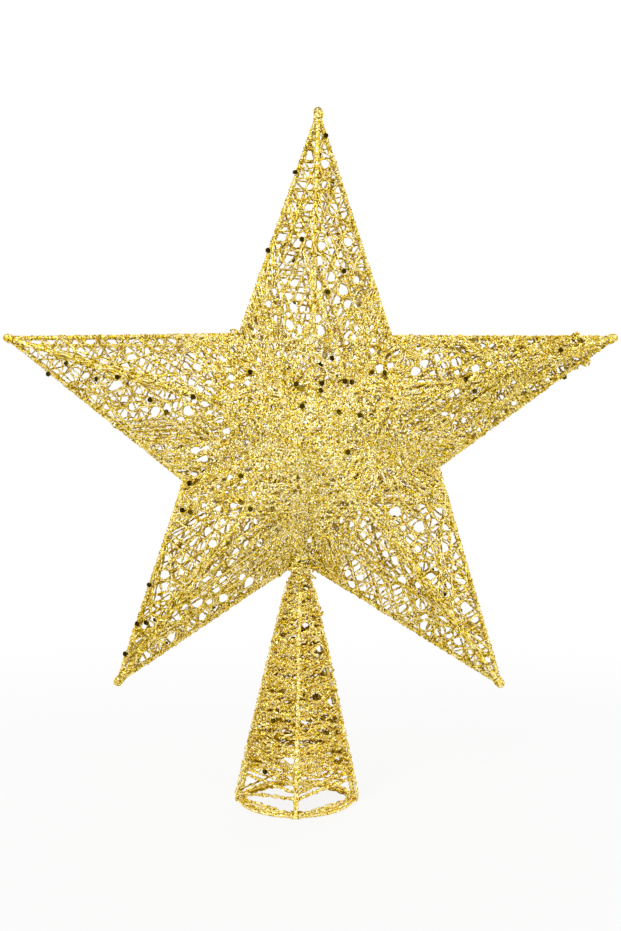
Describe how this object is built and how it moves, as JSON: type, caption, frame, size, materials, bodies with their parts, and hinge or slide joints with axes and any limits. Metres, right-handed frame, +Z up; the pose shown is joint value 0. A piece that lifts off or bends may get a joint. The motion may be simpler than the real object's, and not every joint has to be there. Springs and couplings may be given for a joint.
{
  "type": "tree topper star",
  "caption": "Swelling five-pointed tree topper star of straight wires wound with glitter thread, on a wound wire cone that slips over the top shoot of a tree.",
  "frame": {"origin": "on the ground under the middle of the star, at the bottom centre of the bounding box", "axes": "+Z up through the cone to the top tip, +X across the star to its right tip as seen from the front, +Y from the front to the back"},
  "size_m": [0.2512, 0.0566, 0.2828],
  "materials": {
    "gold_wire": "gold glitter lacquer over steel wire",
    "glitter_thread": "thread coated with gold glitter",
    "sequin": "dark mirror film"
  },
  "bodies": {
    "root": {"top_arm_right_wire": "gold_wire", "top_arm_left_wire": "gold_wire", "left_arm_upper_wire": "gold_wire", "left_arm_lower_wire": "gold_wire", "lower_left_arm_outer_wire": "gold_wire", "lower_left_arm_inner_wire": "gold_wire", "lower_right_arm_inner_wire": "gold_wire", "lower_right_arm_outer_wire": "gold_wire", "right_arm_lower_wire": "gold_wire", "right_arm_upper_wire": "gold_wire", "top_arm_front_ridge": "gold_wire", "top_arm_back_ridge": "gold_wire", "left_arm_front_ridge": "gold_wire", "left_arm_back_ridge": "gold_wire", "lower_left_arm_front_ridge": "gold_wire", "lower_left_arm_back_ridge": "gold_wire", "lower_right_arm_front_ridge": "gold_wire", "lower_right_arm_back_ridge": "gold_wire", "right_arm_front_ridge": "gold_wire", "right_arm_back_ridge": "gold_wire", "tip_beads": "gold_wire", "valley_beads": "gold_wire", "front_apex_bead": "gold_wire", "back_apex_bead": "gold_wire", "neck_bead": "gold_wire", "base_ring": "gold_wire", "cone_rib_right": "gold_wire", "cone_rib_back": "gold_wire", "cone_rib_left": "gold_wire", "cone_rib_front": "gold_wire", "ring_beads": "gold_wire", "top_arm_winding": "glitter_thread", "left_arm_winding": "glitter_thread", "lower_left_arm_winding": "glitter_thread", "lower_right_arm_winding": "glitter_thread", "right_arm_winding": "glitter_thread", "front_web_winding": "glitter_thread", "back_web_winding": "glitter_thread", "cone_winding": "glitter_thread", "neck_binding": "glitter_thread", "sequins": "sequin"}
  },
  "joints": []
}
